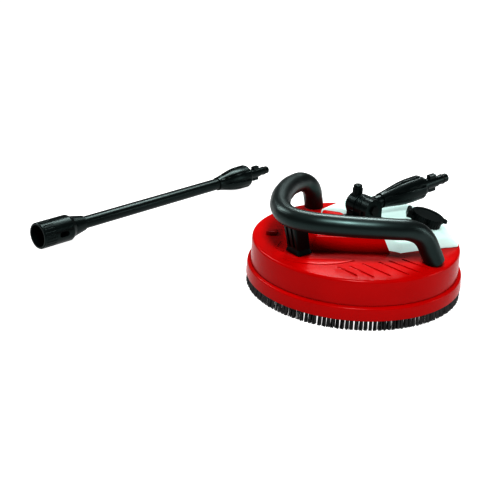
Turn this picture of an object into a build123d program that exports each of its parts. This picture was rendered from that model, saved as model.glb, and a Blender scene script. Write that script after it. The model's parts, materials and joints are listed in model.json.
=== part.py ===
from build123d import *
import os
from math import cos, hypot, radians, sin

# Pressure-driven surface cleaner: a round hood on a ring of bristles, with a spinning spray bar
# inside, a carrying handle, a detergent tank and a tilting arm, and a loose extension lance.
# Origin: centre of the hood on the floor. +Z up, +Y towards the user, along the arm.

# ---- driving dimensions (mm) ----
clearance = 0.3
running_fit = 0.05

flange_radius = 142.5
drum_radius = 136.2
skirt_bottom = 13.3
ledge_height = 29.6
rim_height = 64.3
deck_rise = 4.3
deck_flat_radius = 70.0
hood_wall = 3.0

bristle_tip_radius = 140.1
bristle_width = 3.4
carrier_top = 25.0
carrier_depth = 8.0
carrier_flange = 12.0

cover_wall = 2.6
cover_top = 87.0
cover_line_distance = 58.0
cover_line_angle = 53.0
cover_lean = 22.0

tank_wall = 2.6
tank_crown = 94.5
tank_shoulder_radius = 95.0
tank_shoulder_height = 89.8

handle_radius = 13.2
handle_wall = 3.0

pivot_y = 9.0
pivot_z = 107.5
pivot_radius = 14.5
bolt_radius = 4.0
arm_tilt = 4.8
arm_grip_radius = 16.6
arm_grip_length = 74.0
arm_grip_start = 29.0

nipple_body_radius = 7.6
nipple_lug_radius = 12.0
nipple_nose_radius = 6.5
nipple_body_length = 24.0
nipple_nose_length = 21.0
nipple_bore_radius = 2.5

filler_x = 60.2
filler_y = 64.1
filler_z = 93.1
filler_tilt = 15.0
filler_bore = 14.2
collar_radius = 19.0
collar_height = 8.0
lid_radius = 21.5
lid_thickness = 4.5

bearing_radius = 11.0
bearing_height = 7.0
shaft_radius = 3.95
spray_height = 35.0
spray_reach = 108.0
spray_tube_radius = 4.5
nozzle_tilt = 15.0

lance_mouth_x = -323.0
lance_mouth_y = -300.0
lance_heading = 98.3
socket_radius = 19.0
socket_bore = 16.0
socket_depth = 46.0
lance_tube_radius = 9.0
lance_tube_wall = 2.2
lance_grip_start = 346.0
lance_grip_length = 66.0
lance_grip_radius = 19.0

os.makedirs("parts", exist_ok=True)


def save(builder, name):
    """Label a finished piece and write it as its own STEP file."""
    builder.part.label = name
    export_step(builder.part, f"parts/{name}.step")


# ---- hood: one moulded shell, a stepped drum with a shallow cone for its deck ----
deck_height = rim_height + deck_rise
deck_slope = deck_rise / (drum_radius - deck_flat_radius)


def deck_at(radius):
    """Height of the deck's upper face at a distance from the centre."""
    return deck_height - deck_slope * max(radius - deck_flat_radius, 0)


union_radius = 15.5
flange_draft = 1.2
drum_foot_radius = drum_radius + 1.0
rim_round = 3.5
ledge_round = 1.6
boss_count = 8
boss_radius = 4.0
boss_circle = drum_radius - hood_wall - boss_radius + 0.4
screw_radius = 1.9
screw_head_radius = 3.8
screw_head_height = 2.2
screw_grip = 14.0
tank_screw_places = [(-60.0, 66.0), (60.0, 30.0), (0.0, 104.0)]
foot_x = 116.4
foot_y = 26.4
foot_pad_radius = 14.6
foot_height = 66.8
pedestal_foot_y = -97.0
skirt_ceiling = carrier_top
crescent_front = (4.0, -126.0)
crescent_low = (37.0, -108.0)
crescent_back = (61.0, -58.0)
crescent_high = (27.0, -98.0)
bent_rib = [(-39.0, -96.0), (-28.0, -112.0), (-13.0, -112.0)]
rib_half_width = 1.1
tab_x = -68.0
tab_y = -87.0
tab_turn = -52.0
tab_length = 11.0
tab_width = 14.0
tab_height = 4.5

with BuildPart() as hood:
    with BuildSketch(Plane.XZ) as hood_section:
        with BuildLine():
            Polyline(
                (flange_radius - hood_wall, skirt_bottom),
                (flange_radius, skirt_bottom),
                (flange_radius - flange_draft, ledge_height),
                (drum_foot_radius, ledge_height + 1),
                (drum_radius, rim_height),
                (deck_flat_radius, deck_height),
                (0, deck_height),
                (0, deck_height - hood_wall),
                (deck_flat_radius, deck_height - hood_wall),
                (drum_radius - hood_wall, rim_height - hood_wall),
                (drum_foot_radius - hood_wall, skirt_ceiling),
                (flange_radius - hood_wall, skirt_ceiling),
                close=True,
            )
        make_face()
        rim_corner = hood_section.vertices().sort_by_distance((drum_radius, rim_height))[0]
        fillet(rim_corner, rim_round)
        ledge_corner = hood_section.vertices().sort_by_distance(
            (flange_radius - flange_draft, ledge_height)
        )[0]
        fillet(ledge_corner, ledge_round)
    revolve(axis=Axis.Z)
    # Screw bosses for the brush carrier hang from the deck against the drum wall.
    with BuildSketch(Plane.XY.offset(carrier_top)):
        with PolarLocations(boss_circle, boss_count):
            Circle(boss_radius)
    extrude(amount=rim_height - hood_wall + 1 - carrier_top)
    with BuildSketch(Plane.XY.offset(carrier_top)):
        with PolarLocations(boss_circle, boss_count):
            Circle(screw_radius)
    extrude(amount=screw_grip + 1, mode=Mode.SUBTRACT)
    # Flat pads under the handle's feet.
    with BuildSketch(Plane.XY.offset(foot_height)):
        with Locations((foot_x, foot_y), (-foot_x, foot_y)):
            Circle(foot_pad_radius)
    extrude(amount=-hood_wall)
    # Hole for the rotary union, and the screw holes under the tank, the feet and the pedestal.
    with BuildSketch(Plane.XY.offset(rim_height - 2 * hood_wall)):
        Circle(union_radius + clearance)
        with Locations(*tank_screw_places):
            Circle(screw_radius + clearance)
        with Locations((foot_x, foot_y), (-foot_x, foot_y), (0, pedestal_foot_y)):
            Circle(screw_radius + clearance)
    extrude(amount=deck_height, mode=Mode.SUBTRACT)
    # Six slanted grooves pressed into the deck on the right of the front.
    groove_width = 3.4
    groove_depth = 1.2
    groove_spots = [
        (77, -84, 8, 31),
        (87, -70, 8, 39),
        (93, -51, 10, 43),
        (102, -30, 11, 45),
        (105, -15, 14, 44),
        (107, 3, 17, 38),
    ]
    for groove_x, groove_y, groove_turn, groove_length in groove_spots:
        groove_z = deck_at(hypot(groove_x, groove_y))
        groove_plane = Plane(
            origin=(groove_x, groove_y, groove_z),
            x_dir=(cos(radians(groove_turn)), sin(radians(groove_turn)), -deck_slope),
            z_dir=(deck_slope, 0, 1),
        )
        with BuildSketch(groove_plane.offset(-groove_depth)):
            SlotOverall(groove_length, groove_width)
        extrude(amount=groove_depth * 3, mode=Mode.SUBTRACT)
    # Low raised relief that follows the deck: a crescent and a bent rib beside the pedestal.
    relief_height = 1.1
    with BuildPart(mode=Mode.PRIVATE) as relief:
        with BuildSketch(Plane.XY.offset(rim_height - 2)):
            with BuildLine():
                ThreePointArc(crescent_front, crescent_low, crescent_back)
                ThreePointArc(crescent_back, crescent_high, crescent_front)
            make_face()
            with BuildLine():
                Polyline(*bent_rib)
                offset(amount=rib_half_width)
            make_face()
        extrude(amount=deck_rise + 6)
        with BuildSketch(Plane.XZ):
            with BuildLine():
                Polyline(
                    (0, rim_height - 2),
                    (drum_radius, rim_height - 2),
                    (drum_radius, rim_height + relief_height),
                    (deck_flat_radius, deck_height + relief_height),
                    (0, deck_height + relief_height),
                    close=True,
                )
            make_face()
        revolve(axis=Axis.Z, mode=Mode.INTERSECT)
    add(relief.part)
    # Latch tab: a small raised block on the left of the front.
    with BuildPart(mode=Mode.PRIVATE) as tab:
        with Locations(Location((tab_x, tab_y, deck_at(hypot(tab_x, tab_y))), (0, 0, tab_turn))):
            Box(tab_length, tab_width, 2 * tab_height)
        fillet(tab.edges().filter_by(Axis.Z), 1.5)
        fillet(tab.faces().sort_by(Axis.Z)[-1].edges(), 1.2)
        with BuildSketch(Plane.XY):
            Circle(drum_radius)
        extrude(amount=rim_height - 1, mode=Mode.SUBTRACT)
    add(tab.part)
save(hood, "hood")

# ---- brush carrier: a moulded ring that holds the bristles, screwed up into the hood ----
carrier_outer = flange_radius - hood_wall - clearance
bristle_outer = carrier_outer - 0.9
bristle_inner = bristle_outer - bristle_width
carrier_bottom = carrier_top - carrier_depth
groove_root = carrier_bottom + 4.0
carrier_inner = carrier_outer - carrier_flange
carrier_web = 3.0

with BuildPart() as brush_carrier:
    with BuildSketch(Plane.XZ):
        with BuildLine():
            Polyline(
                (carrier_outer, carrier_bottom),
                (carrier_outer, carrier_top),
                (carrier_inner, carrier_top),
                (carrier_inner, carrier_top - carrier_web),
                (bristle_inner - 1.4, carrier_top - carrier_web),
                (bristle_inner - 1.4, carrier_bottom),
                (bristle_inner - running_fit, carrier_bottom),
                (bristle_inner - running_fit, groove_root),
                (bristle_outer + running_fit, groove_root),
                (bristle_outer + running_fit, carrier_bottom),
                close=True,
            )
        make_face()
    revolve(axis=Axis.Z)
    with BuildSketch(Plane.XY.offset(carrier_top - carrier_web)):
        with PolarLocations(boss_circle, boss_count):
            Circle(screw_radius + clearance)
    extrude(amount=carrier_web, mode=Mode.SUBTRACT)
save(brush_carrier, "brush_carrier")

# ---- bristle ring: the packed bristles as one closed band, splayed a little at the tips ----
with BuildPart() as bristle_ring:
    with BuildSketch(Plane.XZ):
        with BuildLine():
            Polyline(
                (bristle_inner, groove_root),
                (bristle_outer, groove_root),
                (bristle_outer, carrier_bottom),
                (bristle_tip_radius, 0),
                (bristle_tip_radius - bristle_width - 0.6, 0),
                (bristle_inner, carrier_bottom),
                close=True,
            )
        make_face()
    revolve(axis=Axis.Z)
save(bristle_ring, "bristle_ring")

# ---- carrier screws: eight pan-head screws driven up from below ----
with BuildPart() as carrier_screws:
    with BuildSketch(Plane.XY.offset(carrier_top - carrier_web)):
        with PolarLocations(boss_circle, boss_count):
            Circle(screw_head_radius)
    extrude(amount=-screw_head_height)
    with BuildSketch(Plane.XY.offset(carrier_top - carrier_web)):
        with PolarLocations(boss_circle, boss_count):
            Circle(screw_radius - running_fit)
    extrude(amount=carrier_web + screw_grip)
save(carrier_screws, "carrier_screws")

# ---- sizes that the cover shares with the joint that stands on it ----
base_half_x = 24.0
base_front_y = -12.5
base_back_y = 31.0
base_plate = 4.0
base_top = cover_top + base_plate
left_ear_outer = -19.0
left_ear_inner = -6.5
right_ear_inner = 8.5
right_ear_outer = 20.0
column_half = 13.0
base_screw_places = [(-16, -8.8), (16, -8.8), (-16, 27.5), (16, 27.5)]
base_screw_radius = 1.4
base_screw_head = 2.7
base_screw_length = 12.0
feed_x = 13.5
feed_y = 9.0
feed_pipe_radius = 4.0
feed_bore = 2.5
feed_pipe_length = 8.0
outlet_y = 22.0
outlet_z = 76.0
outlet_radius = 2.4
outlet_flange = outlet_radius + 1.6

# ---- deck cover: the raised red shell, a pointed shield that ends against the tank ----
cover_gap = 0.5
notch_half = 27.0
notch_back = 34.0
tank_front_y = 8.0
tank_front_x = 36.0
tank_corner_x = 58.0
tank_corner_y = -7.0
line_cos = cos(radians(cover_line_angle))
line_sin = sin(radians(cover_line_angle))
cover_base = deck_height + clearance
cover_rise = cover_top - cover_base


def cover_side_x(y, distance):
    """Where the slanted side line of the shield stands at a given y."""
    return (distance + line_cos * y) / line_sin


def shield_outline(distance, back_y, apex_cut):
    """Closed half-and-half outline of the pointed shield at one height."""
    apex = -distance / line_cos + apex_cut
    apex_half = cover_side_x(apex, distance)
    side = cover_side_x(back_y, distance)
    return [
        (-apex_half, apex),
        (apex_half, apex),
        (side, back_y),
        (-side, back_y),
    ]


cover_back_y = tank_corner_y + 12.0
apex_cut = 11.0
lean_shift = cover_rise * cos(radians(90 - cover_lean)) / sin(radians(90 - cover_lean))

with BuildPart() as deck_cover:
    with BuildSketch(Plane.XY.offset(cover_base)):
        with BuildLine():
            Polyline(*shield_outline(cover_line_distance, cover_back_y, apex_cut), close=True)
        make_face()
    with BuildSketch(Plane.XY.offset(cover_top)):
        with BuildLine():
            Polyline(
                *shield_outline(cover_line_distance - lean_shift, cover_back_y, apex_cut - 1),
                close=True,
            )
        make_face()
    loft()
    # The tongue that carries the tilting joint reaches back between the tank's shoulders.
    with BuildSketch(Plane.XY.offset(cover_base)):
        with Locations((0, (notch_back - cover_gap) / 2 - 5)):
            Rectangle(2 * (notch_half - cover_gap), notch_back - cover_gap + 10)
    extrude(amount=cover_rise)
    # The rear edge follows the tank's front edge.
    with BuildSketch(Plane.XY.offset(cover_base - 1)):
        for side in (-1, 1):
            with BuildLine():
                Polyline(
                    (side * (notch_half - cover_gap), tank_front_y - cover_gap),
                    (side * tank_front_x, tank_front_y - cover_gap),
                    (side * (tank_corner_x - 1), tank_corner_y - cover_gap),
                    (side * 100, tank_corner_y - cover_gap + 10),
                    (side * 100, 40),
                    (side * (notch_half - cover_gap), 40),
                    close=True,
                )
            make_face()
    extrude(amount=cover_rise + 2, mode=Mode.SUBTRACT)
    top_edges = deck_cover.faces().sort_by(Axis.Z)[-1].edges()
    front_edges = top_edges.filter_by(lambda e: e.center().Y < -20)
    fillet(front_edges, 3.2)
    # Hollow inside, open at the bottom.
    with BuildSketch(Plane.XY.offset(cover_base)):
        with BuildLine():
            Polyline(
                *shield_outline(
                    cover_line_distance - cover_wall * 1.1,
                    cover_back_y - 19,
                    apex_cut + cover_wall,
                ),
                close=True,
            )
        make_face()
    with BuildSketch(Plane.XY.offset(cover_top - cover_wall)):
        with BuildLine():
            Polyline(
                *shield_outline(
                    cover_line_distance - lean_shift - cover_wall * 0.6,
                    cover_back_y - 19,
                    apex_cut + cover_wall - 1,
                ),
                close=True,
            )
        make_face()
    loft(mode=Mode.SUBTRACT)
    with BuildSketch(Plane.XY.offset(cover_base)):
        with Locations((0, 8)):
            Rectangle(2 * (notch_half - cover_gap - cover_wall), 2 * (notch_back - 8 - cover_gap - cover_wall))
    extrude(amount=cover_rise - cover_wall, mode=Mode.SUBTRACT)
    # Holes for the joint's screws, its feed pipe and the tank's outlet.
    with BuildSketch(Plane.XY.offset(cover_top - cover_wall - 1)):
        with Locations(*base_screw_places):
            Circle(base_screw_radius)
        with Locations((feed_x, feed_y)):
            Circle(feed_pipe_radius + clearance)
    extrude(amount=cover_wall + 2, mode=Mode.SUBTRACT)
    with BuildSketch(
        Plane(origin=(-notch_half - 1, outlet_y, outlet_z), x_dir=(0, 1, 0), z_dir=(1, 0, 0))
    ):
        Circle(outlet_flange + clearance)
    extrude(amount=cover_wall + 3, mode=Mode.SUBTRACT)
save(deck_cover, "deck_cover")

# ---- detergent tank: a white blow-moulded shell, domed, filling the rear half of the deck ----
tank_radius = drum_radius - 1.2
tank_foot = clearance
tank_side_x = 97.0
tank_side_y = 95.0
tank_flank_x = 77.0
tank_flank_y = 5.0
neck_radius = 20.5
neck_depth = 12.0
boss_outer = 6.0
boss_depth = 12.0
cap_radial = hypot(filler_x, filler_y)
cap_out_x = filler_x / cap_radial
cap_out_y = filler_y / cap_radial
tilt_sin = sin(radians(filler_tilt))
tilt_cos = cos(radians(filler_tilt))
cap_plane = Plane(
    origin=(filler_x, filler_y, filler_z),
    x_dir=(cap_out_x * tilt_cos, cap_out_y * tilt_cos, -tilt_sin),
    z_dir=(cap_out_x * tilt_sin, cap_out_y * tilt_sin, tilt_cos),
)
tank_outline = [
    (-tank_side_x, tank_side_y),
    (-tank_flank_x, tank_flank_y),
    (-tank_corner_x, tank_corner_y),
    (-tank_front_x, tank_front_y),
    (-notch_half, tank_front_y),
    (-notch_half, notch_back),
    (notch_half, notch_back),
    (notch_half, tank_front_y),
    (tank_front_x, tank_front_y),
    (tank_corner_x, tank_corner_y),
    (tank_flank_x, tank_flank_y),
    (tank_side_x, tank_side_y),
    (tank_radius * 1.2, tank_side_y * 1.2),
    (0, tank_radius * 1.6),
    (-tank_radius * 1.2, tank_side_y * 1.2),
]
tank_floor = deck_height + clearance
shoulder_bulge = 5.5


def dome(inset):
    """Solid of revolution between the deck and the tank's domed top, drawn in by inset."""
    with BuildPart() as dome_body:
        with BuildSketch(Plane.XZ):
            with BuildLine():
                edge = (tank_radius - inset, deck_at(tank_radius) + tank_foot + inset)
                inner_edge = (deck_flat_radius, tank_floor + inset)
                shoulder = (tank_shoulder_radius - inset * 0.3, tank_shoulder_height - inset)
                crown = (0, tank_crown - inset)
                chord = hypot(edge[0] - shoulder[0], shoulder[1] - edge[1])
                bulge_x = shoulder_bulge * (shoulder[1] - edge[1]) / chord
                bulge_y = shoulder_bulge * (edge[0] - shoulder[0]) / chord
                middle = ((edge[0] + shoulder[0]) / 2 + bulge_x, (edge[1] + shoulder[1]) / 2 + bulge_y)
                near_crown = (shoulder[0] / 2, crown[1] - (crown[1] - shoulder[1]) / 4)
                Polyline((0, tank_floor + inset), inner_edge, edge)
                ThreePointArc(edge, middle, shoulder)
                ThreePointArc(shoulder, near_crown, crown)
                Line(crown, (0, tank_floor + inset))
            make_face()
        revolve(axis=Axis.Z)
    return dome_body.part


with BuildPart() as tank_cavity:
    add(dome(tank_wall))
    with BuildSketch(Plane.XY.offset(tank_floor - 10)):
        with BuildLine():
            Polyline(*tank_outline, close=True)
        make_face()
        offset(amount=-tank_wall, kind=Kind.INTERSECTION)
    extrude(amount=50, mode=Mode.INTERSECT)
    with BuildSketch(Plane.XY.offset(tank_floor - 10)):
        with Locations(*tank_screw_places):
            Circle(boss_outer)
    extrude(amount=10 + tank_wall + boss_depth, mode=Mode.SUBTRACT)

with BuildPart() as detergent_tank:
    add(dome(0))
    with BuildSketch(Plane.XY.offset(tank_floor - 10)):
        with BuildLine():
            Polyline(*tank_outline, close=True)
        make_face()
    extrude(amount=50, mode=Mode.INTERSECT)
    with BuildSketch(cap_plane):
        Circle(neck_radius)
    extrude(amount=-neck_depth)
    add(tank_cavity.part, mode=Mode.SUBTRACT)
    with BuildSketch(cap_plane):
        Circle(filler_bore)
    extrude(amount=-neck_depth - 6, mode=Mode.SUBTRACT)
    with BuildSketch(Plane.XY.offset(tank_floor - 6)):
        with Locations(*tank_screw_places):
            Circle(screw_radius)
    extrude(amount=6 + boss_depth, mode=Mode.SUBTRACT)
    with BuildSketch(Plane(origin=(-notch_half - tank_wall - 2, outlet_y, outlet_z), z_dir=(1, 0, 0))):
        Circle(outlet_radius)
    extrude(amount=tank_wall + 4, mode=Mode.SUBTRACT)
save(detergent_tank, "detergent_tank")

# ---- tank screws: three washer-head screws up through the deck into the tank's blind bosses ----
washer_radius = 5.0
washer_height = 2.0
with BuildPart() as tank_screws:
    for place in tank_screw_places:
        under_deck = deck_at(hypot(*place) + washer_radius) - hood_wall - clearance / 2
        with BuildSketch(Plane.XY.offset(under_deck)):
            with Locations(place):
                Circle(washer_radius)
        extrude(amount=-washer_height)
        with BuildSketch(Plane.XY.offset(under_deck)):
            with Locations(place):
                Circle(screw_radius - running_fit)
        extrude(amount=tank_floor + boss_depth - 1.5 - under_deck)
save(tank_screws, "tank_screws")

# ---- filler collar: a ribbed black ring on the tank's neck, with the lid's hinge ears ----
hinge_reach = 24.5
hinge_height = 10.3
ear_half = 2.8
ear_inside = 6.0
ear_outside = 9.0
hinge_pin_radius = 1.5
rib_count = 26
with BuildPart() as filler_collar:
    with BuildSketch(cap_plane):
        Circle(collar_radius)
        with PolarLocations(collar_radius, rib_count):
            Rectangle(1.6, 2.0)
    extrude(amount=collar_height)
    with BuildSketch(cap_plane.offset(3)):
        with Locations((-(hinge_reach + ear_half + 15) / 2, 0)):
            Rectangle(hinge_reach + ear_half - 15, 2 * ear_outside)
    extrude(amount=4.5)
    for side in (-1, 1):
        ear_plane = Plane(
            origin=cap_plane.from_local_coords((-hinge_reach, side * ear_inside, hinge_height)),
            x_dir=cap_plane.x_dir,
            z_dir=cap_plane.y_dir * side,
        )
        with BuildSketch(ear_plane):
            Circle(ear_half)
            with Locations((0, side * 3.2)):
                Rectangle(2 * ear_half, 6.4)
        extrude(amount=ear_outside - ear_inside)
    pin_plane = Plane(
        origin=cap_plane.from_local_coords((-hinge_reach, -ear_outside, hinge_height)),
        x_dir=cap_plane.x_dir,
        z_dir=cap_plane.y_dir,
    )
    with BuildSketch(cap_plane):
        Circle(filler_bore)
    extrude(amount=collar_height, mode=Mode.SUBTRACT)
    with BuildSketch(pin_plane):
        Circle(hinge_pin_radius)
    extrude(amount=2 * ear_outside, mode=Mode.SUBTRACT)
save(filler_collar, "filler_collar")

# ---- lid pin ----
with BuildPart() as lid_pin:
    with BuildSketch(pin_plane):
        Circle(hinge_pin_radius - running_fit / 2)
    extrude(amount=2 * ear_outside)
save(lid_pin, "lid_pin")

# ---- filler lid: a round lid with a finned rim, a thumb tab and a plug underneath ----
plug_radius = 12.0
plug_depth = 2.5
tab_reach = 26.0
tab_width = 11.0
lid_bottom = collar_height + 0.2
barrel_half = ear_inside - clearance
with BuildPart() as filler_lid:
    with BuildSketch(cap_plane.offset(lid_bottom)):
        Circle(lid_radius - 0.8)
        with PolarLocations(lid_radius - 1.2, 40):
            Rectangle(2.4, 1.5)
    extrude(amount=lid_thickness)
    fillet(filler_lid.faces().sort_by(Axis.Z)[-1].edges().sort_by(Edge.length)[-3:], 0.4)
    with BuildSketch(cap_plane.offset(lid_bottom + 0.6)):
        with Locations((tab_reach - 6, 0)):
            RectangleRounded(12, tab_width, 3)
    extrude(amount=lid_thickness - 1.6)
    with BuildSketch(cap_plane.offset(lid_bottom)):
        Circle(plug_radius)
    extrude(amount=-plug_depth)
    # A shallow dish in the top leaves a raised rim.
    with BuildSketch(cap_plane.offset(lid_bottom + lid_thickness)):
        Circle(lid_radius - 5)
    extrude(amount=-0.8, mode=Mode.SUBTRACT)
    with BuildSketch(cap_plane.offset(lid_bottom + 0.3)):
        with Locations((-hinge_reach + 3, 0)):
            Rectangle(6, 2 * barrel_half)
    extrude(amount=lid_thickness - 1.2)
    with BuildSketch(pin_plane.offset(ear_outside - barrel_half)):
        Circle(ear_half - 0.2)
    extrude(amount=2 * barrel_half)
    with BuildSketch(pin_plane):
        Circle(hinge_pin_radius + running_fit)
    extrude(amount=2 * ear_outside, mode=Mode.SUBTRACT)
save(filler_lid, "filler_lid")

# ---- lid seal: a rubber ring round the plug ----
with BuildPart() as lid_seal:
    with BuildSketch(cap_plane.offset(lid_bottom - 0.2)):
        Circle(plug_radius + 1.6)
        Circle(plug_radius, mode=Mode.SUBTRACT)
    extrude(amount=-plug_depth + 0.6)
save(lid_seal, "lid_seal")

# ---- handle: a bowed tube with two leaning legs, hollow ----
handle_points = [
    (116.8, 27.5, 58.0),
    (110.8, 18.0, 90.0),
    (106.0, 2.0, 113.0),
    (93.5, -38.5, 116.5),
    (49.0, -93.5, 118.6),
    (0.0, -121.3, 118.0),
]
handle_bends = [95.0, 30.0, 110.0, 120.0, 52.0]
handle_route = handle_points + [(-x, y, z) for x, y, z in handle_points[-2::-1]]
handle_radii = handle_bends + handle_bends[-2::-1]


def bow(radius):
    """Solid rod along the handle's centre line."""
    with BuildPart() as rod:
        with BuildLine() as path:
            FilletPolyline(*handle_route, radius=handle_radii)
        with BuildSketch(Plane(origin=path.line @ 0, z_dir=path.line % 0)):
            Circle(radius)
        sweep()
    return rod.part


handle_core = bow(handle_radius - handle_wall)
handle_skin = bow(handle_radius)
with BuildPart() as handle:
    add(handle_skin)
    add(handle_core, mode=Mode.SUBTRACT)
    split(bisect_by=Plane.XY.offset(foot_height), keep=Keep.TOP)
    # Solid feet that take the screws.
    with BuildSketch(Plane.XY.offset(foot_height)):
        with Locations((foot_x, foot_y), (-foot_x, foot_y)):
            Circle(handle_radius - 1.2)
    extrude(amount=7)
    with BuildSketch(Plane.XY.offset(foot_height)):
        with Locations((foot_x, foot_y), (-foot_x, foot_y)):
            Circle(screw_radius)
    extrude(amount=9, mode=Mode.SUBTRACT)
save(handle, "handle")

# ---- handle pedestal: a ribbed post that holds up the front of the bow ----
pedestal_width = 24.0
pedestal_depth = 20.0
pedestal_top = 112.0
pedestal_top_y = -107.0
pedestal_base = deck_at(abs(pedestal_foot_y)) + 1.0
pedestal_rib = 1.4
with BuildPart() as handle_pedestal:
    with BuildSketch(Plane.XY.offset(pedestal_base)):
        with Locations((0, pedestal_foot_y)):
            RectangleRounded(pedestal_width + 4, pedestal_depth + 3, 4)
    with BuildSketch(Plane.XY.offset(pedestal_base + 6)):
        with Locations((0, pedestal_foot_y - 1)):
            RectangleRounded(pedestal_width, pedestal_depth, 3)
    with BuildSketch(Plane.XY.offset(pedestal_top)):
        with Locations((0, pedestal_top_y)):
            RectangleRounded(pedestal_width + 1, pedestal_depth + 2, 3)
    loft(ruled=True)
    # Two grooves down the front leave upright ribs.
    for groove_x in (-4.5, 4.5):
        with BuildSketch(Plane.XY.offset(pedestal_base + 8)):
            with Locations((groove_x, pedestal_foot_y - 1 - pedestal_depth / 2)):
                Rectangle(4.2, 2 * pedestal_rib)
        with BuildSketch(Plane.XY.offset(pedestal_top + 1)):
            with Locations((groove_x, pedestal_top_y - 1 - pedestal_depth / 2)):
                Rectangle(4.2, 2 * pedestal_rib)
        loft(mode=Mode.SUBTRACT)
    add(bow(handle_radius + 0.1), mode=Mode.SUBTRACT)
    with BuildSketch(Plane.XY.offset(pedestal_base)):
        with Locations((0, pedestal_foot_y)):
            Circle(screw_radius)
    extrude(amount=16, mode=Mode.SUBTRACT)
    keep_low = handle_pedestal.solids().sort_by(Axis.Z)[0]
handle_pedestal.part = Part(keep_low.wrapped)
save(handle_pedestal, "handle_pedestal")

# ---- handle screws: three, driven up from inside the hood ----
with BuildPart() as handle_screws:
    under_foot = deck_at(hypot(foot_x, foot_y) + screw_head_radius) - hood_wall - clearance / 2
    under_post = deck_at(screw_head_radius - pedestal_foot_y) - hood_wall - clearance / 2
    screw_tops = [
        (foot_x, foot_y, under_foot, foot_height + 7),
        (-foot_x, foot_y, under_foot, foot_height + 7),
        (0, pedestal_foot_y, under_post, pedestal_base + 13),
    ]
    for screw_x, screw_y, head_z, tip_z in screw_tops:
        with BuildSketch(Plane.XY.offset(head_z)):
            with Locations((screw_x, screw_y)):
                Circle(screw_head_radius)
        extrude(amount=-screw_head_height)
        with BuildSketch(Plane.XY.offset(head_z)):
            with Locations((screw_x, screw_y)):
                Circle(screw_radius - running_fit)
        extrude(amount=tip_z - head_z)
save(handle_screws, "handle_screws")

# ---- swivel base: a plate on the cover with two ears that hold the tilting arm ----
button_x = -12.8
button_stem = 3.0
button_boss = 6.6
button_boss_top = 124.0
button_radius = 5.7
button_cup_top = 128.4
button_well = 6.0
ear_knurls = 30
knurl = 1.1


def ear_face(x):
    """Sketch plane square to the pivot axis at x, with its own X along the arm."""
    return Plane(origin=(x, pivot_y, pivot_z), x_dir=(0, 1, 0), z_dir=(1, 0, 0))


with BuildPart() as swivel_base:
    with BuildSketch(Plane.XY.offset(cover_top)):
        with Locations((0, (base_front_y + base_back_y) / 2)):
            RectangleRounded(2 * base_half_x, base_back_y - base_front_y, 4)
    extrude(amount=base_plate)
    fillet(swivel_base.faces().sort_by(Axis.Z)[-1].edges(), 1.0)
    # Left ear: a knurled disc on a column.
    with BuildSketch(ear_face(left_ear_outer)):
        Circle(pivot_radius - knurl / 2)
        with PolarLocations(pivot_radius - knurl, ear_knurls):
            Rectangle(2 * knurl, 1.5)
        with Locations((0, -(pivot_z - cover_top) / 2)):
            Rectangle(2 * column_half - 4, pivot_z - cover_top - 2)
    extrude(amount=left_ear_inner - left_ear_outer)
    # Right ear: a plain post with an arched top.
    with BuildSketch(ear_face(right_ear_inner)):
        Circle(pivot_radius)
        with Locations((0, -(pivot_z - cover_top) / 2)):
            Rectangle(2 * pivot_radius, pivot_z - cover_top - 2)
    extrude(amount=right_ear_outer - right_ear_inner)
    # Sunk arch in the post's front face.
    with BuildSketch(Plane(origin=((right_ear_inner + right_ear_outer) / 2, pivot_y - pivot_radius, 0),
                           x_dir=(1, 0, 0), z_dir=(0, -1, 0))):
        with Locations((0, pivot_z - 9)):
            SlotOverall(17, 6.5, rotation=90)
    extrude(amount=-2.2, mode=Mode.SUBTRACT)
    # Boss for the lock button.
    with BuildSketch(Plane.XY.offset(pivot_z + 9)):
        with Locations((button_x, pivot_y)):
            Circle(button_boss)
    extrude(amount=button_cup_top - pivot_z - 9)
    with BuildSketch(Plane.XY.offset(button_boss_top)):
        with Locations((button_x, pivot_y)):
            Circle(button_radius + 0.15)
    extrude(amount=button_cup_top - button_boss_top, mode=Mode.SUBTRACT)
    with BuildSketch(Plane.XY.offset(button_boss_top)):
        with Locations((button_x, pivot_y)):
            Circle(button_stem + running_fit)
    extrude(amount=-button_well - 3, mode=Mode.SUBTRACT)
    # Feed pipe down through the cover.
    with BuildSketch(Plane.XY.offset(cover_top)):
        with Locations((feed_x, feed_y)):
            Circle(feed_pipe_radius)
    extrude(amount=-feed_pipe_length)
    with BuildSketch(Plane.XY.offset(cover_top - feed_pipe_length)):
        with Locations((feed_x, feed_y)):
            Circle(feed_bore)
    extrude(amount=pivot_z - cover_top + feed_pipe_length - bolt_radius, mode=Mode.SUBTRACT)
    with BuildSketch(ear_face(left_ear_outer - 1)):
        Circle(bolt_radius + running_fit)
    extrude(amount=right_ear_outer - left_ear_outer + 2, mode=Mode.SUBTRACT)
    with BuildSketch(Plane.XY.offset(cover_top - 1)):
        with Locations(*base_screw_places):
            Circle(base_screw_radius)
    extrude(amount=base_plate + 2, mode=Mode.SUBTRACT)
save(swivel_base, "swivel_base")

# ---- base screws: four, down into the cover ----
with BuildPart() as base_screws:
    with BuildSketch(Plane.XY.offset(base_top)):
        with Locations(*base_screw_places):
            Circle(base_screw_head)
    extrude(amount=1.8)
    with BuildSketch(Plane.XY.offset(base_top)):
        with Locations(*base_screw_places):
            Circle(base_screw_radius - running_fit)
    extrude(amount=-base_screw_length)
save(base_screws, "base_screws")

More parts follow.
